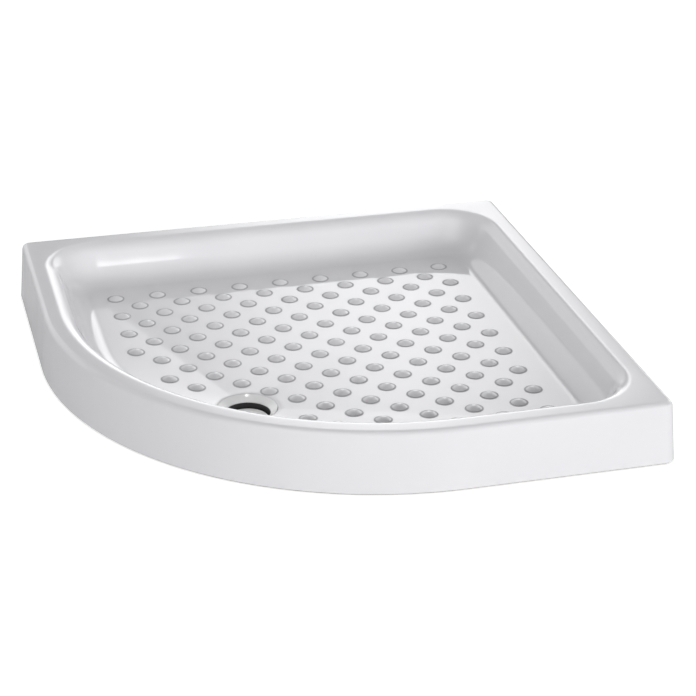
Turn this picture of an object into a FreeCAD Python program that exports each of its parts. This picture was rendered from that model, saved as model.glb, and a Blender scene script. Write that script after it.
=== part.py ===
import FreeCAD, Part
import math
import os
import re

import Sketcher

# Quadrant shower tray: a glazed fireclay casting with a curved front, a coved basin
# whose floor falls to the waste, a field of raised anti-slip bumps and a ribbed hollow
# underside, with a vertical-outlet waste clamped in its hole.
#
# Frame: millimetres, +Z up, origin at the middle of the base square, on the floor.
# +X and +Y run towards the two wall sides; the curved front faces -X -Y.

SIZES = (
    # tray outline
    ("side_length", 900),
    ("front_radius", 565),
    ("tray_height", 100),
    ("skirt_lean", 5),
    ("outer_corner_radius", 22),
    # rim and basin
    ("rim_width", 43),
    ("rim_edge_radius", 9),
    ("lip_radius", 28),
    ("basin_corner_radius", 85),
    ("wall_lean", 25),
    ("cove_radius", 48),
    ("floor_edge", 35.6),
    ("floor_low", 27),
    # hollow underside
    ("skirt_thickness", 12),
    ("rim_thickness", 13),
    ("wall_thickness", 13),
    ("floor_thickness", 13),
    ("rib_thickness", 12),
    ("rib_pitch", 100),
    # anti-slip bumps
    ("bump_diameter", 30),
    ("bump_top", 18),
    ("bump_height", 4),
    ("bump_foot", 1.5),
    ("bump_sides", 8),
    ("bump_pitch", 37),
    ("bump_inset", 155),
    ("bump_margin", 29),
    # waste seat in the casting
    ("waste_inset", 292),
    ("waste_bore", 86),
    ("seat_diameter", 96),
    ("seat_depth", 8.5),
    ("seat_thickness", 9.5),
    ("boss_width", 17),
    # waste ring and its gasket
    ("mouth_diameter", 73.6),
    ("mouth_drop", 7.8),
    ("ring_edge_height", 7.2),
    ("ring_lip", 2.2),
    ("ring_skirt_length", 10),
    ("ring_skirt_wall", 2.2),
    ("ring_gasket_thickness", 1.5),
    # waste body, its gasket and its pipe seal
    ("spigot_wall", 2.6),
    ("flange_gasket_thickness", 2),
    ("flange_width", 13),
    ("flange_thickness", 2.5),
    ("barrel_wall", 3.6),
    ("barrel_length", 4),
    ("ledge_width", 10),
    ("ledge_thickness", 1.4),
    ("seal_height", 3.2),
    ("pipe_diameter", 50),
    # lift-out strainer
    ("strainer_diameter", 67),
    ("strainer_height", 3.6),
    ("strainer_crown", 0.8),
    ("strainer_wall", 2),
    ("strainer_slots", 8),
    ("slot_width", 10),
    ("slot_height", 1.8),
    ("knob_diameter", 11),
    ("knob_height", 5),
    # clearances
    ("seat_gap", 0.4),
    ("bore_gap", 0.8),
    ("thread_gap", 0.15),
    ("seal_gap", 0.1),
    ("bump_gap", 0.5),
)

doc = FreeCAD.newDocument("quadrant_shower_tray")
sheet = doc.addObject("Spreadsheet::Sheet", "Sizes")
for row, (alias, number) in enumerate(SIZES, start=1):
    sheet.set(f"A{row}", alias)
    sheet.set(f"B{row}", str(number))
    sheet.setAlias(f"B{row}", alias)
doc.recompute()

ALIASES = [alias for alias, number in SIZES]

# Places and radii that several pieces share, each a formula of the sheet's cells.
SHARED = {
    "half_side": "(side_length / 2)",
    "skirt_inset": "(tray_height * tan(skirt_lean))",
    "basin_inset": "(skirt_inset + rim_width)",
    "floor_inset": "((tray_height - floor_edge) * tan(wall_lean) + cove_radius * tan(45 - wall_lean / 2))",
    "waste_place": "(waste_inset - half_side)",
    "bump_point_height": "(bump_height * bump_diameter / (bump_diameter - bump_top))",
    "bore_radius": "(waste_bore / 2)",
    "seat_radius": "(seat_diameter / 2)",
    "seat_level": "(floor_low - seat_depth)",
    "boss_level": "(seat_level - seat_thickness)",
    "ring_seat": "(seat_level + ring_gasket_thickness)",
    "ring_top": "(ring_seat + ring_edge_height)",
    "mouth_radius": "(mouth_diameter / 2)",
    "mouth_top": "(ring_top - mouth_drop)",
    "spigot_top": "(mouth_top - ring_lip)",
    "skirt_outer": "(bore_radius - bore_gap)",
    "skirt_inner": "(skirt_outer - ring_skirt_wall)",
    "spigot_outer": "(skirt_inner - thread_gap)",
    "spigot_inner": "(spigot_outer - spigot_wall)",
    "flange_top": "(boss_level - flange_gasket_thickness)",
    "flange_bottom": "(flange_top - flange_thickness)",
    "flange_radius": "(bore_radius + flange_width)",
    "barrel_bottom": "(flange_bottom - barrel_length)",
    "groove_top": "(barrel_bottom + seal_height)",
    "ledge_top": "(groove_top + ledge_thickness)",
    "ledge_inner": "(spigot_inner - ledge_width)",
    "pipe_radius": "(pipe_diameter / 2)",
    "groove_radius": "(ledge_inner + barrel_wall)",
    "barrel_radius": "(groove_radius + barrel_wall)",
    "strainer_radius": "(strainer_diameter / 2)",
    "strainer_top": "(ledge_top + strainer_height)",
}


def formula(text):
    """Write shared names out and point every size at its cell."""
    word = re.compile(r"[a-z_]+")
    while any(name in SHARED for name in word.findall(text)):
        text = word.sub(lambda found: SHARED.get(found.group(), found.group()), text)

    def pointed(found):
        name = found.group()
        return f"Sizes.{name}" if name in ALIASES else name

    return word.sub(pointed, text)


def bind(thing, prop, text):
    thing.setExpression(prop, formula(text))


def number(text):
    """The present value of a formula, for code that places copies."""
    return float(sheet.evalExpression(formula(text)))


def origin_plane(body, role):
    return next(plane for plane in body.Origin.OriginFeatures if plane.Role == role)


def new_body(label):
    body = doc.addObject("PartDesign::Body", label)
    body.Label = label
    return body


def new_sketch(body, name, role):
    sketch = body.newObject("Sketcher::SketchObject", name)
    sketch.AttachmentSupport = [(origin_plane(body, role), "")]
    sketch.MapMode = "FlatFace"
    return sketch


def held(sketch, kind, *places, size):
    """Add a dimension to a sketch and tie it to the sheet."""
    index = sketch.addConstraint(Sketcher.Constraint(kind, *places, number(size)))
    bind(sketch, f"Constraints[{index}]", size)


def plan_outline(body, name, inset, corner, level):
    """The quadrant plan, set in by a distance all round, drawn at one level."""
    sketch = new_sketch(body, name, "XY_Plane")
    bind(sketch, "AttachmentOffset.Base.z", level)
    far = number(f"half_side - ({inset})")
    near = -far
    arc_middle = number("front_radius - half_side")
    round_middle = far - number(corner)

    def line(x_start, y_start, x_end, y_end):
        return Part.LineSegment(FreeCAD.Vector(x_start, y_start, 0), FreeCAD.Vector(x_end, y_end, 0))

    def arc(x_middle, y_middle, radius, quarter):
        circle = Part.Circle(FreeCAD.Vector(x_middle, y_middle, 0), FreeCAD.Vector(0, 0, 1), radius)
        return Part.ArcOfCircle(circle, quarter * math.pi / 2, (quarter + 1) * math.pi / 2)

    right_return, wall_side, back_side, left_return = 0, 2, 4, 6
    edges = [
        line(arc_middle, near, round_middle, near),
        arc(round_middle, -round_middle, number(corner), 3),
        line(far, -round_middle, far, round_middle),
        arc(round_middle, round_middle, number(corner), 0),
        line(round_middle, far, -round_middle, far),
        arc(-round_middle, round_middle, number(corner), 1),
        line(near, round_middle, near, arc_middle),
        arc(arc_middle, arc_middle, number(f"front_radius - ({inset})"), 2),
    ]
    sketch.addGeometry(edges, False)
    for edge in range(len(edges)):
        sketch.addConstraint(Sketcher.Constraint("Tangent", edge, 2, (edge + 1) % len(edges), 1))
    for edge in (right_return, back_side):
        sketch.addConstraint(Sketcher.Constraint("Horizontal", edge))
    for edge in (wall_side, left_return):
        sketch.addConstraint(Sketcher.Constraint("Vertical", edge))
    for rounded in (1, 3, 5):
        held(sketch, "Radius", rounded, size=corner)
    held(sketch, "Radius", 7, size=f"front_radius - ({inset})")
    held(sketch, "DistanceY", -1, 1, right_return, 1, size=f"({inset}) - half_side")
    held(sketch, "DistanceX", -1, 1, wall_side, 1, size=f"half_side - ({inset})")
    held(sketch, "DistanceY", -1, 1, back_side, 1, size=f"half_side - ({inset})")
    held(sketch, "DistanceX", -1, 1, left_return, 1, size=f"({inset}) - half_side")
    return sketch


def leaning_prism(label, inset, corner, level, length, lean, downward):
    """The quadrant plan carried up or down, narrowing at a steady lean."""
    body = new_body(label)
    sketch = plan_outline(body, f"{label}_plan", inset, corner, level)
    pad = body.newObject("PartDesign::Pad", f"{label}_pad")
    pad.Profile = sketch
    pad.Reversed = downward
    bind(pad, "Length", length)
    bind(pad, "TaperAngle", f"0 - {lean}")
    doc.recompute()
    return body


def turned(label, corners):
    """A piece of the waste, turned about the waste's axis from its half section."""
    body = new_body(label)
    bind(body, "Placement.Base.x", "waste_place")
    bind(body, "Placement.Base.y", "waste_place")
    sketch = new_sketch(body, f"{label}_section", "XZ_Plane")
    points = [FreeCAD.Vector(number(radius), number(level), 0) for radius, level in corners]
    count = len(points)
    sketch.addGeometry([Part.LineSegment(points[k], points[(k + 1) % count]) for k in range(count)], False)
    for k in range(count):
        sketch.addConstraint(Sketcher.Constraint("Coincident", k, 2, (k + 1) % count, 1))
    for k, (radius, level) in enumerate(corners):
        held(sketch, "DistanceX", -1, 1, k, 1, size=radius)
        held(sketch, "DistanceY", -1, 1, k, 1, size=level)
    revolution = body.newObject("PartDesign::Revolution", f"{label}_turned")
    revolution.Profile = sketch
    revolution.ReferenceAxis = (sketch, ["V_Axis"])
    revolution.Angle = 360
    doc.recompute()
    return body


def named(kind, label):
    thing = doc.addObject(kind, label)
    thing.Label = label
    return thing


def cut(label, base, tool):
    result = named("Part::Cut", label)
    result.Base = base
    result.Tool = tool
    doc.recompute()
    return result


def cone_to_point(label, outline, point):
    """A solid whose sides run straight from an outline to a point."""
    loft = named("Part::Loft", label)
    loft.Sections = [outline, point]
    loft.Solid = True
    loft.Ruled = True
    doc.recompute()
    return loft


def standing_cylinder(label, radius, bottom, top):
    """A cylinder on the waste's axis."""
    cylinder = named("Part::Cylinder", label)
    bind(cylinder, "Radius", radius)
    bind(cylinder, "Height", f"({top}) - ({bottom})")
    bind(cylinder, "Placement.Base.x", "waste_place")
    bind(cylinder, "Placement.Base.y", "waste_place")
    bind(cylinder, "Placement.Base.z", bottom)
    doc.recompute()
    return cylinder


LEVEL_TOLERANCE = 0.001


def rounded_edges(label, base, choose):
    """Round the edges that choose() gives a radius for."""
    result = named("Part::Fillet", label)
    result.Base = base
    picked = [(place, choose(edge)) for place, edge in enumerate(base.Shape.Edges, start=1)]
    result.Edges = [(place, radius, radius) for place, radius in picked if radius]
    doc.recompute()
    return result


def inset_of(point):
    """How far a point lies inside the plan of the foot."""
    half = number("half_side")
    arc_middle = number("front_radius - half_side")
    if point.x < arc_middle and point.y < arc_middle:
        return number("front_radius") - math.hypot(point.x - arc_middle, point.y - arc_middle)
    return half - max(abs(point.x), abs(point.y))


# Tray casting: the outer block, less the basin, with its rim edges rounded over.
outer_block = leaning_prism(
    "outer_block", "0", "outer_corner_radius", "0", "tray_height", "skirt_lean", False
)
basin_walls = leaning_prism(
    "basin_walls",
    "basin_inset",
    "basin_corner_radius",
    "tray_height",
    "tray_height - floor_edge",
    "wall_lean",
    True,
)


def cove_rounding(edge):
    at_foot = max(vertex.Z for vertex in edge.Vertexes) < number("floor_edge") + LEVEL_TOLERANCE
    return number("cove_radius") if at_foot else None


coved_basin = rounded_edges("coved_basin", basin_walls, cove_rounding)

# Floor: level along the foot of the coves, from there falling straight to the waste.
floor_body = new_body("floor_outline")
floor_edge_line = plan_outline(
    floor_body,
    "floor_edge_line",
    "basin_inset + floor_inset",
    "basin_corner_radius - floor_inset",
    "floor_edge",
)
low_point = named("Part::Vertex", "low_point")
bind(low_point, "X", "waste_place")
bind(low_point, "Y", "waste_place")
bind(low_point, "Z", "floor_low")
doc.recompute()
falling_floor = cone_to_point("falling_floor", floor_edge_line, low_point)
basin = named("Part::MultiFuse", "basin")
basin.Shapes = [coved_basin, falling_floor]
doc.recompute()
sharp_tray = cut("sharp_tray", outer_block, basin)


def rim_rounding(edge):
    rim_level = number("tray_height")
    if min(vertex.Z for vertex in edge.Vertexes) < rim_level - LEVEL_TOLERANCE:
        return None
    middle = edge.valueAt((edge.FirstParameter + edge.LastParameter) / 2)
    on_basin_edge = inset_of(middle) > number("skirt_inset + rim_width / 2")
    return number("lip_radius") if on_basin_edge else number("rim_edge_radius")


rounded_tray = rounded_edges("rounded_tray", sharp_tray, rim_rounding)

# Underside: hollow between the skirt and the basin's back, with a row of ribs left in.
inner_block = leaning_prism(
    "inner_block",
    "skirt_thickness",
    "outer_corner_radius",
    "0",
    "tray_height - rim_thickness",
    "skirt_lean",
    False,
)
basin_back = leaning_prism(
    "basin_back",
    "basin_inset - wall_thickness / cos(wall_lean)",
    "basin_corner_radius + wall_thickness",
    "tray_height",
    "tray_height - floor_low + floor_thickness",
    "wall_lean",
    True,
)
hollow = cut("hollow", inner_block, basin_back)


def rib_row():
    """Upright ribs across the tray, evenly spaced about the middle."""
    pitch = number("rib_pitch")
    thickness = number("rib_thickness")
    span = number("side_length")
    count = max(1, round(span / pitch) - 1)
    starts = [(place - (count - 1) / 2) * pitch - thickness / 2 for place in range(count)]
    height = number("tray_height")
    return [Part.makeBox(span, thickness, height, FreeCAD.Vector(-span / 2, start, 0)) for start in starts]


ribs = named("Part::Feature", "ribs")
ribs.Shape = Part.makeCompound(rib_row())
boss = standing_cylinder("boss", "bore_radius + boss_width", "boss_level", "tray_height")
kept_clay = named("Part::MultiFuse", "kept_clay")
kept_clay.Shapes = [ribs, boss]
doc.recompute()
channels = cut("channels", hollow, kept_clay)
hollow_tray = cut("hollow_tray", rounded_tray, channels)


# Waste hole: a flat seat for the ring, the bore, and room for the flange underneath.
waste_hole = named("Part::MultiFuse", "waste_hole")
waste_hole.Shapes = [
    standing_cylinder("ring_recess", "seat_radius", "seat_level", "tray_height"),
    standing_cylinder("ring_bore", "bore_radius", "0", "tray_height"),
    standing_cylinder("flange_room", "bore_radius + boss_width", "0", "boss_level"),
]
doc.recompute()
drilled_tray = cut("drilled_tray", hollow_tray, waste_hole)


# Anti-slip bumps: low many-sided buttons, each standing a little way down in the floor.
bump_outline = named("Part::RegularPolygon", "bump_outline")
bind(bump_outline, "Polygon", "bump_sides")
bind(bump_outline, "Circumradius", "bump_diameter / 2 * (1 + bump_foot / bump_point_height)")
bind(bump_outline, "Placement.Base.z", "0 - bump_foot")
bump_point = named("Part::Vertex", "bump_point")
bind(bump_point, "Z", "bump_point_height")
doc.recompute()
pointed_bump = cone_to_point("pointed_bump", bump_outline, bump_point)
above_bump = named("Part::Cylinder", "above_bump")
bind(above_bump, "Radius", "bump_diameter")
bind(above_bump, "Height", "bump_point_height")
bind(above_bump, "Placement.Base.z", "bump_height")
doc.recompute()
bump = cut("bump", pointed_bump, above_bump)


def bump_places():
    """Rows a pitch apart, every other row shifted, where the floor has room."""
    pitch = number("bump_pitch")
    first = number("half_side - bump_inset")
    floor_line = number("basin_inset + floor_inset")
    waste = number("waste_place")
    rows = int(number("side_length") / pitch)
    for row in range(rows):
        for column in range(row % 2, rows, 2):
            place = FreeCAD.Vector(first - column * pitch, first - row * pitch, 0)
            from_waste = math.hypot(place.x - waste, place.y - waste)
            clear_of_wall = inset_of(place) - floor_line >= number("bump_margin")
            clear_of_seat = from_waste >= number("seat_radius + bump_diameter / 2 + bump_gap")
            if clear_of_wall and clear_of_seat:
                plumb_line = Part.makeLine(place, place + FreeCAD.Vector(0, 0, number("tray_height")))
                place.z = min(vertex.Z for vertex in falling_floor.Shape.common(plumb_line).Vertexes)
                yield place


bumps = named("Part::Feature", "bumps")
bumps.Shape = Part.makeCompound([bump.Shape.translated(place) for place in bump_places()])
tray_casting = named("Part::MultiFuse", "tray_casting")
tray_casting.Shapes = [drilled_tray, bumps]
doc.recompute()

# Waste ring: a dished flange whose threaded skirt draws the body up from below.
waste_ring = turned(
    "waste_ring",
    [
        ("seat_radius - seat_gap", "ring_seat"),
        ("seat_radius - seat_gap", "ring_top"),
        ("mouth_radius", "mouth_top"),
        ("mouth_radius", "spigot_top"),
        ("skirt_inner", "spigot_top"),
        ("skirt_inner", "ring_seat - ring_skirt_length"),
        ("skirt_outer", "ring_seat - ring_skirt_length"),
        ("skirt_outer", "ring_seat"),
    ],
)
ring_gasket = turned(
    "ring_gasket",
    [
        ("bore_radius", "seat_level"),
        ("seat_radius - seat_gap", "seat_level"),
        ("seat_radius - seat_gap", "ring_seat"),
        ("bore_radius", "ring_seat"),
    ],
)

# Waste body: spigot up the bore, clamping flange below, ledge and outlet for the pipe.
waste_body = turned(
    "waste_body",
    [
        ("groove_radius", "barrel_bottom"),
        ("barrel_radius", "barrel_bottom"),
        ("flange_radius", "flange_bottom"),
        ("flange_radius", "flange_top"),
        ("spigot_outer", "flange_top"),
        ("spigot_outer", "spigot_top"),
        ("spigot_inner", "spigot_top"),
        ("spigot_inner", "ledge_top"),
        ("ledge_inner", "ledge_top"),
        ("ledge_inner", "groove_top"),
        ("groove_radius", "groove_top"),
    ],
)
flange_gasket = turned(
    "flange_gasket",
    [
        ("bore_radius", "flange_top"),
        ("flange_radius", "flange_top"),
        ("flange_radius", "boss_level"),
        ("bore_radius", "boss_level"),
    ],
)
pipe_seal = turned(
    "pipe_seal",
    [
        ("pipe_radius", "barrel_bottom"),
        ("groove_radius - seal_gap", "barrel_bottom"),
        ("groove_radius - seal_gap", "groove_top"),
        ("pipe_radius", "groove_top"),
    ],
)

# Lift-out strainer: a low white cap on a slotted wall, with a knob to lift it by.
strainer = turned(
    "strainer",
    [
        ("0", "strainer_top - strainer_wall"),
        ("strainer_radius - strainer_wall", "strainer_top - strainer_wall"),
        ("strainer_radius - strainer_wall", "ledge_top"),
        ("strainer_radius", "ledge_top"),
        ("strainer_radius", "strainer_top"),
        ("knob_diameter / 2", "strainer_top + strainer_crown"),
        ("knob_diameter / 2", "strainer_top + knob_height"),
        ("0", "strainer_top + knob_height"),
    ],
)
slot_sketch = new_sketch(strainer, "slot_plan", "XZ_Plane")
slot_corners = (
    ("0 - slot_width / 2", "ledge_top"),
    ("slot_width / 2", "ledge_top"),
    ("slot_width / 2", "ledge_top + slot_height"),
    ("0 - slot_width / 2", "ledge_top + slot_height"),
)
slot_points = [FreeCAD.Vector(number(across), number(level), 0) for across, level in slot_corners]
slot_edges = [Part.LineSegment(slot_points[k], slot_points[(k + 1) % 4]) for k in range(4)]
slot_sketch.addGeometry(slot_edges, False)
for k, (across, level) in enumerate(slot_corners):
    slot_sketch.addConstraint(Sketcher.Constraint("Coincident", k, 2, (k + 1) % 4, 1))
    held(slot_sketch, "DistanceX", -1, 1, k, 1, size=across)
    held(slot_sketch, "DistanceY", -1, 1, k, 1, size=level)
slot = strainer.newObject("PartDesign::Pocket", "slot")
slot.Profile = slot_sketch
bind(slot, "Length", "strainer_radius + strainer_wall")
doc.recompute()
slots = strainer.newObject("PartDesign::PolarPattern", "slots")
slots.Originals = [slot]
slots.Axis = (slot_sketch, ["V_Axis"])
slots.Angle = 360
bind(slots, "Occurrences", "strainer_slots")
strainer.Tip = slots
doc.recompute()

nodes = (
    tray_casting,
    waste_ring,
    ring_gasket,
    waste_body,
    flange_gasket,
    pipe_seal,
    strainer,
)

for thing in doc.Objects:
    if "Invalid" in thing.State or "Error" in thing.State:
        raise RuntimeError(f"{thing.Label} failed: {thing.State}")
for node in nodes:
    if node.Shape.isNull() or not node.Shape.isValid():
        raise RuntimeError(f"{node.Label} has no valid shape")

os.makedirs("parts", exist_ok=True)
for node in nodes:
    node.Shape.exportStep(f"parts/{node.Label}.step")
    print(f"{node.Label}: {len(node.Shape.Solids)} solid, {node.Shape.Volume / 1000:.1f} cm3")
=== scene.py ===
import math

import bpy
from mathutils import Matrix, Vector


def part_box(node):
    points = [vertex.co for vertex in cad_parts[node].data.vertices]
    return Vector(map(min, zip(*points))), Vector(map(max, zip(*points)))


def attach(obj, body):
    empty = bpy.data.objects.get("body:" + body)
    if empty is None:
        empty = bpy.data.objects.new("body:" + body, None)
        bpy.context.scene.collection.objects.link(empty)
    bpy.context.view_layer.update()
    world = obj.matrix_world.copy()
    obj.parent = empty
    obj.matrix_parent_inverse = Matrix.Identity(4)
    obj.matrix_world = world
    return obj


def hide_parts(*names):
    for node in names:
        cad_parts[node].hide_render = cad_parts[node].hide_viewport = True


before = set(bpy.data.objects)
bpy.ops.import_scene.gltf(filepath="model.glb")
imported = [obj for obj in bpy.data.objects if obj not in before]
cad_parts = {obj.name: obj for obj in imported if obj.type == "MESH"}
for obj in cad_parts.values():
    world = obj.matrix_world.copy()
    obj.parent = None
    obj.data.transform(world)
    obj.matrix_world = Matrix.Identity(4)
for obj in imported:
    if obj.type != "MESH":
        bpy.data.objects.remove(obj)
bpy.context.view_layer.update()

# Tray casting. One piece of fireclay, slip-cast and fired, with white glaze on every face
# that shows. The foot, the hollow underside and its ribs stay raw clay, given a darker grey tone
# than buff fireclay, so that the narrow raw band at the foot is also a painted shadow line where
# the tray meets the floor.
tray_low, tray_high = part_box("tray_casting")
half_side = tray_high.x
tray_height = tray_high.z
front_radius = 0.565
skirt_lean = math.radians(5)
outer_corner = 0.022
rim_width = 0.043
rim_rounding = 0.009
lip_rounding = 0.028
basin_corner = 0.085
wall_lean = math.radians(25)
cove_rounding = 0.048
floor_edge = 0.0356
floor_low = 0.027
skirt_thickness = 0.012
rim_thickness = 0.013
wall_thickness = 0.013
floor_thickness = 0.013
foot_rounding = 0.002

waste_low, waste_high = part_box("waste_ring")
waste_axis = (waste_low + waste_high).to_2d() / 2
recess_radius = 0.048
recess_rounding = 0.003
seat_level = 0.0185
bore_radius = 0.043
boss_radius = 0.06
boss_level = 0.009

arc_middle = front_radius - half_side
skirt_inset = tray_height * math.tan(skirt_lean)
basin_inset = skirt_inset + rim_width
wall_run = (tray_height - floor_edge) * math.tan(wall_lean)
cove_run = cove_rounding * math.tan((math.pi / 2 - wall_lean) / 2)
floor_inset = basin_inset + wall_run + cove_run
back_inset = basin_inset - wall_thickness / math.cos(wall_lean)
back_level = floor_low - floor_thickness
back_foot = back_inset + (tray_height - back_level) * math.tan(wall_lean)
back_top = back_inset + rim_thickness * math.tan(wall_lean)
under_rim = tray_height - rim_thickness
skirt_top = skirt_thickness + under_rim * math.tan(skirt_lean)

side_steps = 48
short_side_steps = 24
corner_steps = 20
front_steps = 180
least_corner = 0.002


def plan_loop(inset, corner, level):
    """The quadrant plan, set in from the foot, as a loop that always has as many points."""
    far = half_side - inset
    turn = far - corner
    loop = []

    def straight(x_start, y_start, x_end, y_end, steps):
        start = Vector((x_start, y_start, level))
        end = Vector((x_end, y_end, level))
        loop.extend(start.lerp(end, step / steps) for step in range(steps))

    def bend(x_middle, y_middle, radius, quarter, steps):
        middle = Vector((x_middle, y_middle, level))
        for step in range(steps):
            angle = (quarter + step / steps) * math.pi / 2
            loop.append(middle + radius * Vector((math.cos(angle), math.sin(angle), 0)))

    straight(arc_middle, -far, turn, -far, short_side_steps)
    bend(turn, -turn, corner, 3, corner_steps)
    straight(far, -turn, far, turn, side_steps)
    bend(turn, turn, corner, 0, corner_steps)
    straight(turn, far, -turn, far, side_steps)
    bend(-turn, turn, corner, 1, corner_steps)
    straight(-far, turn, -far, arc_middle, short_side_steps)
    bend(arc_middle, arc_middle, front_radius - inset, 2, front_steps)
    return loop


def outer_loop(inset, level):
    return plan_loop(inset, max(outer_corner - inset, least_corner), level)


def basin_loop(inset, level):
    return plan_loop(inset, basin_corner + basin_inset - inset, level)


def back_loop(inset, level):
    return plan_loop(inset, basin_corner + wall_thickness + back_inset - inset, level)


def arc_steps(first_degrees, last_degrees, steps):
    """Even steps from the first angle to the last, with both of them."""
    sweep = last_degrees - first_degrees
    return [math.radians(first_degrees + sweep * k / steps) for k in range(steps + 1)]


floor_line = basin_loop(floor_inset, floor_edge)


def floor_loop(radius, level=None):
    """Where straight lines from the floor's edge to the waste pass a circle round the waste."""
    loop = []
    for point in floor_line:
        spoke = point.to_2d() - waste_axis
        place = waste_axis + spoke.normalized() * radius
        fall = floor_low + (floor_edge - floor_low) * radius / spoke.length
        loop.append(Vector((place.x, place.y, fall if level is None else level(fall))))
    return loop


def floor_rings(steps):
    """The floor between its edge and the waste, in even steps along each line."""
    start = floor_line
    end = floor_loop(recess_radius + recess_rounding)
    return [[a.lerp(b, k / steps) for a, b in zip(start, end)] for k in range(1, steps + 1)]


# the glazed face, from the foot of the skirt over the rim and down to the seat of the waste
lean_degrees = math.degrees(skirt_lean)
wall_degrees = math.degrees(wall_lean)
rim_middle = skirt_inset + rim_rounding * math.tan((math.pi / 2 - skirt_lean) / 2)
lip_middle = basin_inset - lip_rounding * math.tan((math.pi / 2 - wall_lean) / 2)
rim_steps = 14
lip_steps = 16
cove_steps = 20
floor_steps = 56
recess_steps = 6
glazed = [outer_loop(foot_rounding, 0), outer_loop(0, foot_rounding)]
for angle in arc_steps(180 - lean_degrees, 90, rim_steps):
    inset = rim_middle + rim_rounding * math.cos(angle)
    glazed.append(outer_loop(inset, tray_height - rim_rounding * (1 - math.sin(angle))))
for angle in arc_steps(90, wall_degrees, lip_steps):
    inset = lip_middle + lip_rounding * math.cos(angle)
    glazed.append(basin_loop(inset, tray_height - lip_rounding * (1 - math.sin(angle))))
for angle in arc_steps(180 + wall_degrees, 270, cove_steps):
    inset = floor_inset + cove_rounding * math.cos(angle)
    glazed.append(basin_loop(inset, floor_edge + cove_rounding * (1 + math.sin(angle))))
glazed += floor_rings(floor_steps)
for angle in arc_steps(90, 0, recess_steps)[1:]:
    radius = recess_radius + recess_rounding * (1 - math.cos(angle))
    drop = recess_rounding * (1 - math.sin(angle))
    glazed.append(floor_loop(radius, lambda fall: fall - drop))
glazed.append(floor_loop(recess_radius, lambda fall: seat_level))
glazed.append(floor_loop(bore_radius, lambda fall: seat_level))

# the raw face, from the bore along the underside and back to the foot
raw = [glazed[-1]]
raw.append(floor_loop(bore_radius, lambda fall: boss_level))
raw.append(floor_loop(boss_radius, lambda fall: boss_level))
raw.append(floor_loop(boss_radius, lambda fall: back_level))
raw.append(back_loop(back_foot, back_level))
raw.append(back_loop(back_top, under_rim))
raw.append(outer_loop(skirt_top, under_rim))
raw.append(outer_loop(skirt_thickness, 0))
raw.append(glazed[0])

casting_points = []
casting_faces = []
casting_slots = []
# the third slot is painted shade: a dark grey ring round the foot of each bump
GLAZE_SLOT, CLAY_AND_FOOT_SHADE_SLOT, BUMP_SHADE_SLOT = 0, 1, 2


def add_bands(loops, finish):
    """Join each loop to the next with a band of four-sided faces."""
    start = len(casting_points)
    size = len(loops[0])
    for loop in loops:
        casting_points.extend(loop)
    for band in range(len(loops) - 1):
        for k in range(size):
            here = start + band * size + k
            beside = start + band * size + (k + 1) % size
            casting_faces.append((here, beside, beside + size, here + size))
            casting_slots.append(finish)


# the narrow raw band at the foot, darker than the glaze, is partly a painted shadow line along
# the floor
add_bands(glazed[:2], CLAY_AND_FOOT_SHADE_SLOT)
add_bands(glazed[1:], GLAZE_SLOT)
add_bands(raw, CLAY_AND_FOOT_SHADE_SLOT)

# the row of ribs that stiffens the floor from below
rib_thickness = 0.012
rib_pitch = 0.1
rib_count = 8
rib_bite = 0.001


def side_reach(inset, across):
    """How far the plan reaches to the left and to the right on the line y = across."""
    left = inset - half_side
    if across < arc_middle:
        left = arc_middle - math.sqrt((front_radius - inset) ** 2 - (across - arc_middle) ** 2)
    return left, half_side - inset


def add_rib(across):
    """One rib from skirt to skirt, left out under the boss of the waste."""
    left_side = []
    right_side = []
    for inset, level in (
        (skirt_thickness - rib_bite, 0),
        (skirt_top - rib_bite, under_rim + rib_bite),
        (back_top + rib_bite, under_rim + rib_bite),
        (back_foot + rib_bite, back_level + rib_bite),
    ):
        left, right = side_reach(inset, across)
        left_side.append((left, level))
        right_side.append((right, level))
    outlines = [right_side + left_side[::-1]]
    clear = boss_radius ** 2 - (across - waste_axis.y) ** 2
    if clear > 0:
        gap = math.sqrt(clear) - rib_bite
        floor_right = (waste_axis.x + gap, back_level + rib_bite)
        floor_left = (waste_axis.x - gap, back_level + rib_bite)
        outlines = [
            right_side + [floor_right, (waste_axis.x + gap, 0)],
            [(waste_axis.x - gap, 0), floor_left] + left_side[::-1],
        ]
    for corners in outlines:
        start = len(casting_points)
        count = len(corners)
        for side in (-rib_thickness / 2, rib_thickness / 2):
            casting_points.extend(Vector((x, across + side, z)) for x, z in corners)
        casting_faces.append(tuple(range(start, start + count)))
        casting_faces.append(tuple(range(start + 2 * count - 1, start + count - 1, -1)))
        for k in range(count):
            after = (k + 1) % count
            here, beside = start + k, start + after
            casting_faces.append((beside, here, here + count, beside + count))
        casting_slots.extend([CLAY_AND_FOOT_SHADE_SLOT] * (count + 2))


for rib in range(rib_count):
    add_rib((rib - (rib_count - 1) / 2) * rib_pitch)

# the anti-slip bumps: low domes in rows, every other row shifted by half a step
bump_radius = 0.0132
bump_height = 0.0052
bump_pitch = 0.037
bump_inset = 0.155
bump_margin = 0.029
bump_gap = 0.0005
bump_sides = 40


def floor_level(place):
    """Height of the falling floor under a place on it."""
    spoke = place - waste_axis
    reach = []
    far = half_side - floor_inset
    for along, start in zip(spoke, waste_axis):
        if along:
            reach.append((math.copysign(far, along) - start) / along)
    to_arc = waste_axis - Vector((arc_middle, arc_middle))
    half_b = spoke.dot(to_arc)
    rest = to_arc.length_squared - (front_radius - floor_inset) ** 2
    out = (-half_b + math.sqrt(half_b ** 2 - spoke.length_squared * rest)) / spoke.length_squared
    hit = waste_axis + spoke * out
    if hit.x < arc_middle and hit.y < arc_middle:
        reach.append(out)
    return floor_low + (floor_edge - floor_low) / min(reach)


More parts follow.
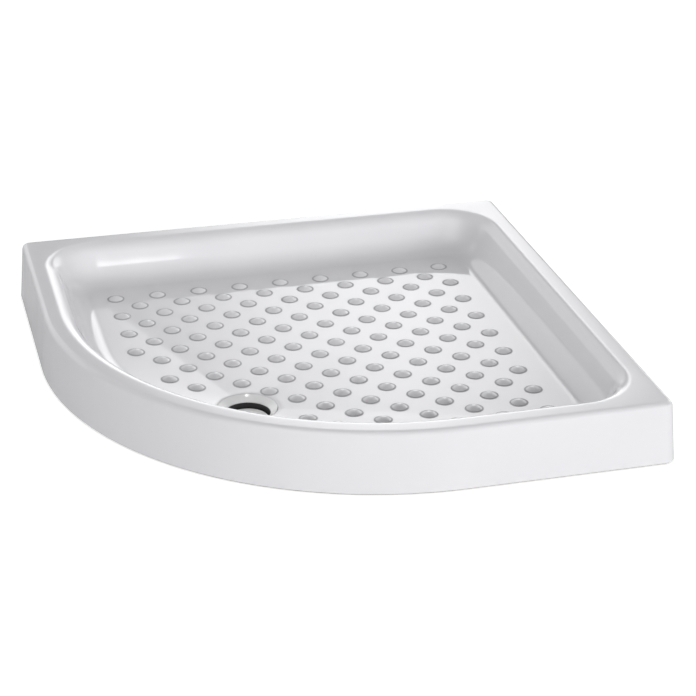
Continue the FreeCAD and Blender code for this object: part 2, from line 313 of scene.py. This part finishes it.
def inset_of(place):
    """How far a place lies inside the plan of the foot."""
    if place.x < arc_middle and place.y < arc_middle:
        return front_radius - (place - Vector((arc_middle, arc_middle))).length
    return half_side - max(abs(place.x), abs(place.y))


def bump_places():
    rows = int(2 * half_side / bump_pitch)
    first = half_side - bump_inset
    for row in range(rows):
        for column in range(row % 2, rows, 2):
            place = Vector((first - column * bump_pitch, first - row * bump_pitch))
            clear_of_wall = inset_of(place) - floor_inset >= bump_margin
            clear_of_waste = (place - waste_axis).length >= recess_radius + bump_radius + bump_gap
            if clear_of_wall and clear_of_waste:
                yield place


# a bump's section: a round cap with a thin flare at the foot, whose outer bands carry painted
# shade, a dark grey ring for the shade that outlines each bump on the floor
bump_steps = 14
bump_fullness = 2.1
bump_flare = 0.002
bump_film = 0.0003
film_shoulder = 0.9
film_thinning = 0.7
shaded_bands = 3
bump_section = []
for step in range(1, bump_steps + 1):
    share = step / bump_steps
    height = max(bump_height * (1 - share ** bump_fullness), bump_film)
    bump_section.append((bump_radius * share, height))
bump_section.append((bump_radius + bump_flare * film_shoulder, bump_film * film_thinning))
bump_section.append((bump_radius + bump_flare, -bump_film))
first_shaded = len(bump_section) - 1 - shaded_bands

probe = 0.001
for place in bump_places():
    level = floor_level(place)
    slope = Vector((
        floor_level(place + Vector((probe, 0))) - level,
        floor_level(place + Vector((0, probe))) - level,
    )) / probe
    tilt = Vector((-slope.x, -slope.y, 1)).to_track_quat("Z", "Y").to_matrix()
    foot = Vector((place.x, place.y, level))
    start = len(casting_points)
    casting_points.append(foot + tilt @ Vector((0, 0, bump_height)))
    for radius, height in bump_section:
        for side in range(bump_sides):
            turn = 2 * math.pi * side / bump_sides
            round_top = Vector((radius * math.cos(turn), radius * math.sin(turn), height))
            point = foot + tilt @ round_top
            if radius > bump_radius:
                point.z = floor_level(point.to_2d()) + height
            casting_points.append(point)
    for side in range(bump_sides):
        beside = (side + 1) % bump_sides
        casting_faces.append((start, start + 1 + side, start + 1 + beside))
        casting_slots.append(GLAZE_SLOT)
        for ring in range(len(bump_section) - 1):
            inner = start + 1 + ring * bump_sides
            outer = inner + bump_sides
            casting_faces.append((inner + side, outer + side, outer + beside, inner + beside))
            # the outer bands of each bump take the painted shade
            casting_slots.append(BUMP_SHADE_SLOT if ring >= first_shaded else GLAZE_SLOT)

casting_crease = math.radians(35)
casting_mesh = bpy.data.meshes.new("glazed_casting")
casting_mesh.from_pydata(casting_points, [], casting_faces)
casting_mesh.polygons.foreach_set("material_index", casting_slots)
casting_mesh.polygons.foreach_set("use_smooth", [True] * len(casting_faces))
casting_mesh.set_sharp_from_angle(angle=casting_crease)
casting_mesh.validate()
casting = bpy.data.objects.new("glazed_casting", casting_mesh)
bpy.context.collection.objects.link(casting)


def build_mottle():
    """Soft blotches of two tones, and a roughness that follows them."""
    group = bpy.data.node_groups.new("mottle", "ShaderNodeTree")
    for name, kind, start_value in (
        ("Blotches per metre", "NodeSocketFloat", 20.0),
        ("Detail", "NodeSocketFloat", 4.0),
        ("First tone", "NodeSocketColor", (1, 1, 1, 1)),
        ("Second tone", "NodeSocketColor", (0.9, 0.9, 0.9, 1)),
        ("Smoothest", "NodeSocketFloat", 0.1),
        ("Roughest", "NodeSocketFloat", 0.2),
    ):
        socket = group.interface.new_socket(name, in_out="INPUT", socket_type=kind)
        socket.default_value = start_value
    group.interface.new_socket("Tone", in_out="OUTPUT", socket_type="NodeSocketColor")
    group.interface.new_socket("Roughness", in_out="OUTPUT", socket_type="NodeSocketFloat")
    nodes, links = group.nodes, group.links
    given = nodes.new("NodeGroupInput")
    put_out = nodes.new("NodeGroupOutput")
    place = nodes.new("ShaderNodeTexCoord")
    noise = nodes.new("ShaderNodeTexNoise")
    spread = nodes.new("ShaderNodeMapRange")
    spread.inputs["From Min"].default_value = 0.3
    spread.inputs["From Max"].default_value = 0.7
    tone = nodes.new("ShaderNodeMix")
    tone.data_type = "RGBA"
    links.new(place.outputs["Object"], noise.inputs["Vector"])
    links.new(given.outputs["Blotches per metre"], noise.inputs["Scale"])
    links.new(given.outputs["Detail"], noise.inputs["Detail"])
    links.new(noise.outputs["Fac"], spread.inputs["Value"])
    links.new(spread.outputs["Result"], tone.inputs["Factor"])
    links.new(given.outputs["First tone"], tone.inputs["A"])
    links.new(given.outputs["Second tone"], tone.inputs["B"])
    links.new(tone.outputs["Result"], put_out.inputs["Tone"])
    roughness = nodes.new("ShaderNodeMapRange")
    links.new(spread.outputs["Result"], roughness.inputs["Value"])
    links.new(given.outputs["Smoothest"], roughness.inputs["To Min"])
    links.new(given.outputs["Roughest"], roughness.inputs["To Max"])
    links.new(roughness.outputs["Result"], put_out.inputs["Roughness"])
    return group


mottle = build_mottle()


def mottled_finish(name, scale, first, second, smooth, rough):
    """A material whose colour and roughness follow the mottle; returns it and its shader."""
    material = bpy.data.materials.new(name)
    material.use_nodes = True
    nodes, links = material.node_tree.nodes, material.node_tree.links
    shader = nodes["Principled BSDF"]
    blotches = nodes.new("ShaderNodeGroup")
    blotches.node_tree = mottle
    blotches.inputs["Blotches per metre"].default_value = scale
    blotches.inputs["First tone"].default_value = (*first, 1)
    blotches.inputs["Second tone"].default_value = (*second, 1)
    blotches.inputs["Smoothest"].default_value = smooth
    blotches.inputs["Roughest"].default_value = rough
    links.new(blotches.outputs["Tone"], shader.inputs["Base Color"])
    links.new(blotches.outputs["Roughness"], shader.inputs["Roughness"])
    return material, shader


def build_relief():
    """A surface raised and sunk a little by a noise of its own."""
    group = bpy.data.node_groups.new("relief", "ShaderNodeTree")
    for name in ("Waves per metre", "Detail", "Depth"):
        group.interface.new_socket(name, in_out="INPUT", socket_type="NodeSocketFloat")
    group.interface.new_socket("Normal", in_out="OUTPUT", socket_type="NodeSocketVector")
    nodes, links = group.nodes, group.links
    given = nodes.new("NodeGroupInput")
    put_out = nodes.new("NodeGroupOutput")
    place = nodes.new("ShaderNodeTexCoord")
    noise = nodes.new("ShaderNodeTexNoise")
    raised = nodes.new("ShaderNodeBump")
    raised.inputs["Strength"].default_value = 1.0
    links.new(place.outputs["Object"], noise.inputs["Vector"])
    links.new(given.outputs["Waves per metre"], noise.inputs["Scale"])
    links.new(given.outputs["Detail"], noise.inputs["Detail"])
    links.new(given.outputs["Depth"], raised.inputs["Distance"])
    links.new(noise.outputs["Fac"], raised.inputs["Height"])
    links.new(raised.outputs["Normal"], put_out.inputs["Normal"])
    return group


relief = build_relief()


def add_relief(material, shader, scale, detail, depth):
    """Give a material a relief of its own scale and depth."""
    waves = material.node_tree.nodes.new("ShaderNodeGroup")
    waves.node_tree = relief
    waves.inputs["Waves per metre"].default_value = scale
    waves.inputs["Detail"].default_value = detail
    waves.inputs["Depth"].default_value = depth
    material.node_tree.links.new(waves.outputs["Normal"], shader.inputs["Normal"])


glaze, glaze_shader = mottled_finish(
    "white_glaze",
    scale=7.0,
    first=(0.835, 0.832, 0.848),
    second=(0.815, 0.812, 0.83),
    smooth=0.03,
    rough=0.06,
)
glaze_shader.inputs["IOR"].default_value = 1.52
add_relief(glaze, glaze_shader, scale=14.0, detail=1.0, depth=0.0004)

# painted shade: a dark grey glaze for the ring at each bump's foot, standing in for the shade
# that outlines the bumps
bump_shade, _ = mottled_finish(
    "painted_bump_shade",
    scale=7.0,
    first=(0.46, 0.458, 0.475),
    second=(0.42, 0.418, 0.435),
    smooth=0.5,
    rough=0.6,
)

# raw clay, toned darker and greyer than buff fireclay so that its band at the foot also serves as
# a painted contact shadow
clay_and_foot_shade, clay_and_foot_shade_shader = mottled_finish(
    "raw_fireclay_and_foot_shade",
    scale=60.0,
    first=(0.44, 0.42, 0.385),
    second=(0.36, 0.34, 0.305),
    smooth=0.75,
    rough=0.95,
)
add_relief(clay_and_foot_shade, clay_and_foot_shade_shader, scale=900.0, detail=3.0, depth=0.0002)

casting_mesh.materials.append(glaze)
casting_mesh.materials.append(clay_and_foot_shade)
casting_mesh.materials.append(bump_shade)
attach(casting, "tray")
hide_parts("tray_casting")

# Waste ring. A flange moulded in white plastic, dished to shed water into the mouth, with a
# short threaded skirt that pulls the body below up against the underside of the tray.
ease = 0.0005
ease_steps = 4
ease_limit = 0.4
turned_sides = 128
turned_crease = math.radians(40)
axis_gap = 0.00001
ring_edge = waste_high.z
ring_seat = 0.02
ring_radius = (waste_high.x - waste_low.x) / 2
mouth_radius = 0.0368
mouth_top = 0.0194
lip_bottom = 0.0172
thread_outer = 0.0422
thread_inner = 0.04


def eased(corners, radius):
    """Round each corner of a closed half section off with a small arc."""
    section = []
    count = len(corners)
    for k in range(count):
        here = Vector(corners[k])
        before = Vector(corners[k - 1]) - here
        after = Vector(corners[(k + 1) % count]) - here
        reach = min(radius, before.length * ease_limit, after.length * ease_limit)
        start = here + before.normalized() * reach
        end = here + after.normalized() * reach
        for step in range(ease_steps + 1):
            t = step / ease_steps
            section.append((1 - t) ** 2 * start + 2 * t * (1 - t) * here + t ** 2 * end)
    return section


def turned(name, corners, radius):
    """A moulded ring, turned about the waste's axis from its half section."""
    section = eased(corners, radius)
    count = len(section)
    points = []
    faces = []
    for turn in range(turned_sides):
        angle = 2 * math.pi * turn / turned_sides
        for across, level in section:
            across = max(across, axis_gap)
            points.append((
                waste_axis.x + across * math.cos(angle),
                waste_axis.y + across * math.sin(angle),
                level,
            ))
    for turn in range(turned_sides):
        here = turn * count
        beside = (turn + 1) % turned_sides * count
        for k in range(count):
            after = (k + 1) % count
            faces.append((here + k, beside + k, beside + after, here + after))
    mesh = bpy.data.meshes.new(name)
    mesh.from_pydata(points, [], faces)
    mesh.polygons.foreach_set("use_smooth", [True] * len(faces))
    mesh.set_sharp_from_angle(angle=turned_crease)
    piece = bpy.data.objects.new(name, mesh)
    bpy.context.collection.objects.link(piece)
    return piece


ring = turned(
    "moulded_ring",
    [
        (ring_radius, ring_seat),
        (ring_radius, ring_edge),
        (mouth_radius, mouth_top),
        (mouth_radius, lip_bottom),
        (thread_inner, lip_bottom),
        (thread_inner, waste_low.z),
        (thread_outer, waste_low.z),
        (thread_outer, ring_seat),
    ],
    ease,
)
white_plastic, white_shader = mottled_finish(
    "white_moulding",
    scale=90.0,
    first=(0.93, 0.93, 0.925),
    second=(0.91, 0.91, 0.905),
    smooth=0.12,
    rough=0.2,
)
add_relief(white_plastic, white_shader, scale=2500.0, detail=2.0, depth=0.00001)
ring.data.materials.append(white_plastic)
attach(ring, "tray")
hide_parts("waste_ring")

# Gaskets and pipe seal. Plain black rubber rings, squeezed between the ring, the casting,
# the body and the pipe; only their edges ever show.
rubber, rubber_shader = mottled_finish(
    "black_rubber",
    scale=200.0,
    first=(0.03, 0.03, 0.031),
    second=(0.05, 0.05, 0.05),
    smooth=0.55,
    rough=0.8,
)
add_relief(rubber, rubber_shader, scale=3000.0, detail=2.0, depth=0.00002)
for name in ("ring_gasket", "flange_gasket", "pipe_seal"):
    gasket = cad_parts[name].data
    gasket.materials.clear()
    gasket.materials.append(rubber)

# Waste body. Moulded in black plastic: a spigot up the hole, a flange that clamps from below,
# a ledge for the strainer and a short outlet that takes the pipe.
body_low, body_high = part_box("waste_body")
flange_radius = (body_high.x - body_low.x) / 2
spigot_outer = 0.03985
spigot_inner = 0.03725
flange_top = 0.007
flange_bottom = 0.0045
ledge_top = 0.0051
ledge_inner = 0.02725
groove_top = 0.0037
groove_radius = 0.03085
outlet_radius = 0.03445
body_ease = ease * 0.6
body = turned(
    "moulded_body",
    [
        (groove_radius, body_low.z),
        (outlet_radius, body_low.z),
        (flange_radius, flange_bottom),
        (flange_radius, flange_top),
        (spigot_outer, flange_top),
        (spigot_outer, body_high.z),
        (spigot_inner, body_high.z),
        (spigot_inner, ledge_top),
        (ledge_inner, ledge_top),
        (ledge_inner, groove_top),
        (groove_radius, groove_top),
    ],
    body_ease,
)
black_plastic, black_shader = mottled_finish(
    "black_moulding",
    scale=150.0,
    first=(0.018, 0.018, 0.019),
    second=(0.028, 0.028, 0.029),
    smooth=0.35,
    rough=0.5,
)
add_relief(black_plastic, black_shader, scale=4000.0, detail=2.0, depth=0.00002)
body.data.materials.append(black_plastic)
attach(body, "tray")
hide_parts("waste_body")

# Strainer. A loose cap moulded in white plastic that stands on the ledge; water runs through
# the slots in its wall, and the knob lifts it out for cleaning.
cap_low, cap_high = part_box("strainer")
cap_radius = (cap_high.x - cap_low.x) / 2
cap_top = 0.0087
cap_crown = 0.0008
cap_wall = 0.002
knob_radius = 0.0055
slot_count = 8
slot_width = 0.01
slot_height = 0.0018
slot_reach = cap_radius * 0.6
first_slot = -math.pi / 2
cap = turned(
    "moulded_strainer",
    [
        (0, cap_top - cap_wall),
        (cap_radius - cap_wall, cap_top - cap_wall),
        (cap_radius - cap_wall, cap_low.z),
        (cap_radius, cap_low.z),
        (cap_radius, cap_top),
        (knob_radius, cap_top + cap_crown),
        (knob_radius, cap_high.z),
        (0, cap_high.z),
    ],
    ease,
)
cutters = []
for k in range(slot_count):
    bpy.ops.mesh.primitive_cube_add(size=1)
    cutter = bpy.context.object
    turn = Matrix.Rotation(first_slot + 2 * math.pi * k / slot_count, 4, "Z")
    # half of the cutter's height lies below the wall
    shape = Matrix.Diagonal((slot_reach, slot_width, slot_height * 2, 1))
    middle = Matrix.Translation((waste_axis.x, waste_axis.y, cap_low.z))
    cutter.data.transform(middle @ turn @ Matrix.Translation((cap_radius, 0, 0)) @ shape)
    cutters.append(cutter)
for cutter in cutters:
    cutting = cap.modifiers.new("slot", "BOOLEAN")
    cutting.object = cutter
    cutting.solver = "EXACT"
cut_cap = cap.evaluated_get(bpy.context.evaluated_depsgraph_get())
slotted = bpy.data.meshes.new_from_object(cut_cap)
cap.modifiers.clear()
cap.data = slotted
for cutter in cutters:
    bpy.data.objects.remove(cutter)
cap.data.materials.clear()
cap.data.materials.append(white_plastic)
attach(cap, "strainer")
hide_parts("strainer")

# Floor. A plain sheet of matt white card that the tray stands on. It runs out of sight on all
# sides, a hair below the foot, and carries only the tray's shadow.
floor_reach = 40.0
floor_gap = 0.0005
floor_glow = 0.6
floor_corners = ((-1, -1), (1, -1), (1, 1), (-1, 1))
floor_mesh = bpy.data.meshes.new("studio_floor")
floor_mesh.from_pydata(
    [(x * floor_reach, y * floor_reach, tray_low.z - floor_gap) for x, y in floor_corners],
    [],
    [(0, 1, 2, 3)],
)
floor = bpy.data.objects.new("studio_floor", floor_mesh)
bpy.context.collection.objects.link(floor)
sheet, sheet_shader = mottled_finish(
    "white_sheet",
    scale=3.0,
    first=(0.86, 0.86, 0.86),
    second=(0.85, 0.85, 0.85),
    smooth=0.9,
    rough=0.95,
)
sheet_shader.inputs["Specular IOR Level"].default_value = 0.0
sheet_nodes, sheet_links = sheet.node_tree.nodes, sheet.node_tree.links
seen = sheet_nodes.new("ShaderNodeLightPath")
dim = sheet_nodes.new("ShaderNodeMath")
dim.operation = "MULTIPLY"
dim.inputs[1].default_value = floor_glow
white = sheet_nodes.new("ShaderNodeEmission")
white.inputs["Color"].default_value = (1, 1, 1, 1)
both = sheet_nodes.new("ShaderNodeAddShader")
sheet_links.new(seen.outputs["Is Camera Ray"], dim.inputs[0])
sheet_links.new(dim.outputs["Value"], white.inputs["Strength"])
sheet_links.new(sheet_shader.outputs["BSDF"], both.inputs[0])
sheet_links.new(white.outputs["Emission"], both.inputs[1])
sheet_links.new(both.outputs["Shader"], sheet_nodes["Material Output"].inputs["Surface"])
floor_mesh.materials.append(sheet)

# Light. The tray stands in a tent of white cloth, lit from outside in six soft patches: a low
# strip in front, one at the front left, three low ones behind and a faint one above those.
# The glaze of floor and rim mirrors the three behind, which are weakest at the left.
tent_glow = 0.13
patches = (
    # strength, the share of it that the glaze mirrors, side, and then where it fades in and
    # out, in degrees: left, right, low and high
    (5.5, 0.25, "front", (-28, -8), (50, 70), (0, 5), (15, 24)),
    (1.2, 1, "front", (-70, -50), (-28, -8), (1, 7), (51, 65)),
    (1.55, 1, "back", (-67, -53), (-3, 8), (-12, 12), (30, 38)),
    (3.4, 1, "back", (4, 16), (15, 31), (-6, 6), (31, 37)),
    (2.7, 1, "back", (27, 37), (54, 70), (-6, 6), (30, 38)),
    (0.7, 1, "back", (-67, -53), (54, 70), (30, 38), (51, 65)),
)
world = bpy.data.worlds.new("light_tent")
world.use_nodes = True
bpy.context.scene.world = world
world_nodes, world_links = world.node_tree.nodes, world.node_tree.links


def add_maths(operation, first, second):
    """A maths node fed by sockets or plain numbers; returns its output."""
    node = world_nodes.new("ShaderNodeMath")
    node.operation = operation
    for socket, source in zip(node.inputs, (first, second)):
        if isinstance(source, (int, float)):
            socket.default_value = source
        else:
            world_links.new(source, socket)
    return node.outputs["Value"]


def add_edge(angle, start, end, rising):
    """A soft edge of a patch, between two angles in degrees."""
    edge = world_nodes.new("ShaderNodeMapRange")
    edge.interpolation_type = "SMOOTHSTEP"
    edge.inputs["From Min"].default_value = math.radians(start)
    edge.inputs["From Max"].default_value = math.radians(end)
    edge.inputs["To Min"].default_value = 0.0 if rising else 1.0
    edge.inputs["To Max"].default_value = 1.0 if rising else 0.0
    world_links.new(angle, edge.inputs["Value"])
    return edge.outputs["Result"]


outlook = world_nodes.new("ShaderNodeTexCoord")
parts = world_nodes.new("ShaderNodeSeparateXYZ")
world_links.new(outlook.outputs["Generated"], parts.inputs["Vector"])
elevation = add_maths("ARCSINE", parts.outputs["Z"], 0.0)
frontward = add_maths("MULTIPLY", parts.outputs["Y"], -1.0)
bearings = {
    "back": add_maths("ARCTAN2", parts.outputs["X"], parts.outputs["Y"]),
    "front": add_maths("ARCTAN2", parts.outputs["X"], frontward),
}
ray = world_nodes.new("ShaderNodeLightPath")
glow = tent_glow
for strength, share, side, left, right, low, high in patches:
    bearing = bearings[side]
    across = add_maths(
        "MULTIPLY", add_edge(bearing, *left, True), add_edge(bearing, *right, False)
    )
    upright = add_maths(
        "MULTIPLY", add_edge(elevation, *low, True), add_edge(elevation, *high, False)
    )
    patch = add_maths("MULTIPLY", add_maths("MULTIPLY", across, upright), strength)
    if share < 1:
        taken = add_maths("MULTIPLY", ray.outputs["Is Glossy Ray"], share - 1)
        patch = add_maths("MULTIPLY", patch, add_maths("ADD", taken, 1.0))
    glow = add_maths("ADD", patch, glow)
lighting = world_nodes["Background"]
lighting.inputs["Color"].default_value = (0.99, 0.99, 1.0, 1)
world_links.new(glow, lighting.inputs["Strength"])
backdrop = world_nodes.new("ShaderNodeBackground")
backdrop.inputs["Color"].default_value = (1, 1, 1, 1)
backdrop.inputs["Strength"].default_value = 1.0
seen_plainly = add_maths(
    "MAXIMUM", ray.outputs["Is Camera Ray"], ray.outputs["Is Transmission Ray"]
)
world_mix = world_nodes.new("ShaderNodeMixShader")
world_links.new(seen_plainly, world_mix.inputs["Fac"])
world_links.new(lighting.outputs["Background"], world_mix.inputs[1])
world_links.new(backdrop.outputs["Background"], world_mix.inputs[2])
world_links.new(world_mix.outputs["Shader"], world_nodes["World Output"].inputs["Surface"])

# Streak lamp. A small flat lamp to the right of the camera, with white cloth over its face.
# It is weak, and is seen only as a soft streak on the glaze of the back wall.
streak = bpy.data.lights.new("streak_lamp", "AREA")
streak.shape = "RECTANGLE"
streak.size = 0.34
streak.size_y = 0.22
streak.energy = 1.5
streak_lamp = bpy.data.objects.new("streak_lamp", streak)
streak_lamp.location = (0.18, -2.617, 1.606)
streak_lamp.rotation_mode = "QUATERNION"
streak_lamp.rotation_quaternion = streak_lamp.location.to_track_quat("Z", "Y")
streak_lamp.visible_camera = False
bpy.context.collection.objects.link(streak_lamp)

# Mouth lamp. A lamp in a long hood, hung high and straight above the waste. Its narrow beam
# fills the deep mouth down to the strainer, and ends about at the edge of the ring.
beam_radius = 0.045
lamp_height = 3.0
hood = bpy.data.lights.new("mouth_lamp", "SPOT")
hood.energy = 155.0
hood.spot_size = 2 * math.atan(beam_radius / (lamp_height - ring_edge))
hood.spot_blend = 0.5
hood.shadow_soft_size = 0.03
mouth_lamp = bpy.data.objects.new("mouth_lamp", hood)
mouth_lamp.location = (waste_axis.x, waste_axis.y, lamp_height)
mouth_lamp.visible_camera = False
bpy.context.collection.objects.link(mouth_lamp)

# Camera. It stands in front of the curve, a little to the left, and looks down on the basin
# through a long lens, so the sides of the tray draw together only slightly.
image_width = 696
focal_pixels = 2002.3
camera_place = (-0.71994, -2.91865, 1.45839)
camera_yaw = 0.257053
camera_pitch = -0.440775
camera_roll = 0.003294
lens = bpy.data.cameras.new("camera")
lens.sensor_width = 36
lens.lens = lens.sensor_width * focal_pixels / image_width
lens.clip_end = 200
camera = bpy.data.objects.new("camera", lens)
camera.matrix_world = (
    Matrix.Translation(camera_place)
    @ Matrix.Rotation(-camera_yaw, 4, "Z")
    @ Matrix.Rotation(math.pi / 2 + camera_pitch, 4, "X")
    @ Matrix.Rotation(camera_roll, 4, "Z")
)
bpy.context.collection.objects.link(camera)
bpy.context.scene.camera = camera
bpy.context.scene.view_settings.view_transform = "Standard"
